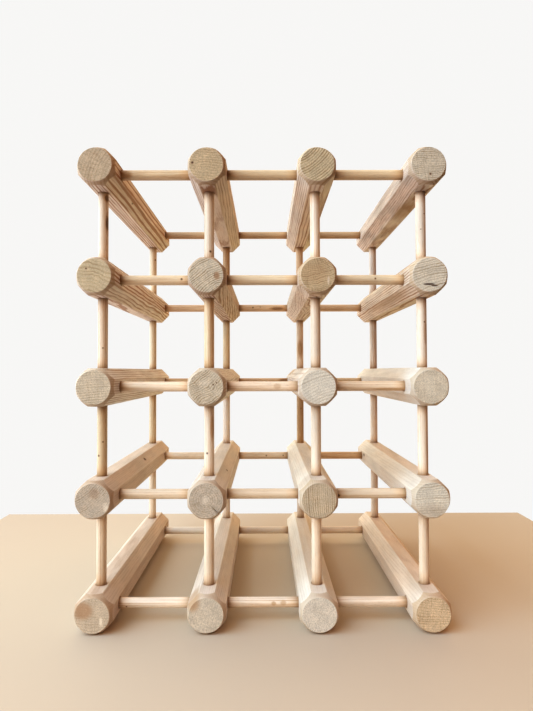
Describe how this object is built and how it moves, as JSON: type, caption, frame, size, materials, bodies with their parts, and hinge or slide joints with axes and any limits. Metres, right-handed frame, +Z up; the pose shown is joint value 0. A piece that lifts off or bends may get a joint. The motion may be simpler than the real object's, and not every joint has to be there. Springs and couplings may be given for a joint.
{
  "type": "wine rack",
  "caption": "Free-standing wooden wine rack: eight-sided rails laid front to back in a grid, tied by round dowels, with open square cells that each hold a bottle.",
  "frame": {"origin": "centre of the rack's footprint, on the surface that it stands on", "axes": "+X to the right as seen from the front, +Y to the back along the rails, +Z up"},
  "size_m": [0.3398, 0.2922, 0.4413],
  "materials": {
    "rail_wood": "bare planed hardwood, sanded smooth, dry satin",
    "dowel_wood": "bare pale dowel rod, fine straight grain, dry satin"
  },
  "bodies": {
    "root": {"rail_column1_level1": "rail_wood", "rail_column1_level2": "rail_wood", "rail_column1_level3": "rail_wood", "rail_column1_level4": "rail_wood", "rail_column1_level5": "rail_wood", "rail_column2_level1": "rail_wood", "rail_column2_level2": "rail_wood", "rail_column2_level3": "rail_wood", "rail_column2_level4": "rail_wood", "rail_column2_level5": "rail_wood", "rail_column3_level1": "rail_wood", "rail_column3_level2": "rail_wood", "rail_column3_level3": "rail_wood", "rail_column3_level4": "rail_wood", "rail_column3_level5": "rail_wood", "rail_column4_level1": "rail_wood", "rail_column4_level2": "rail_wood", "rail_column4_level3": "rail_wood", "rail_column4_level4": "rail_wood", "rail_column4_level5": "rail_wood", "front_post_column1": "dowel_wood", "front_post_column2": "dowel_wood", "front_post_column3": "dowel_wood", "front_post_column4": "dowel_wood", "rear_post_column1": "dowel_wood", "rear_post_column2": "dowel_wood", "rear_post_column3": "dowel_wood", "rear_post_column4": "dowel_wood", "front_peg_gap1_level1": "dowel_wood", "front_peg_gap1_level2": "dowel_wood", "front_peg_gap1_level3": "dowel_wood", "front_peg_gap1_level4": "dowel_wood", "front_peg_gap1_level5": "dowel_wood", "front_peg_gap2_level1": "dowel_wood", "front_peg_gap2_level2": "dowel_wood", "front_peg_gap2_level3": "dowel_wood", "front_peg_gap2_level4": "dowel_wood", "front_peg_gap2_level5": "dowel_wood", "front_peg_gap3_level1": "dowel_wood", "front_peg_gap3_level2": "dowel_wood", "front_peg_gap3_level3": "dowel_wood", "front_peg_gap3_level4": "dowel_wood", "front_peg_gap3_level5": "dowel_wood", "rear_peg_gap1_level1": "dowel_wood", "rear_peg_gap1_level2": "dowel_wood", "rear_peg_gap1_level3": "dowel_wood", "rear_peg_gap1_level4": "dowel_wood", "rear_peg_gap1_level5": "dowel_wood", "rear_peg_gap2_level1": "dowel_wood", "rear_peg_gap2_level2": "dowel_wood", "rear_peg_gap2_level3": "dowel_wood", "rear_peg_gap2_level4": "dowel_wood", "rear_peg_gap2_level5": "dowel_wood", "rear_peg_gap3_level1": "dowel_wood", "rear_peg_gap3_level2": "dowel_wood", "rear_peg_gap3_level3": "dowel_wood", "rear_peg_gap3_level4": "dowel_wood", "rear_peg_gap3_level5": "dowel_wood"}
  },
  "joints": []
}
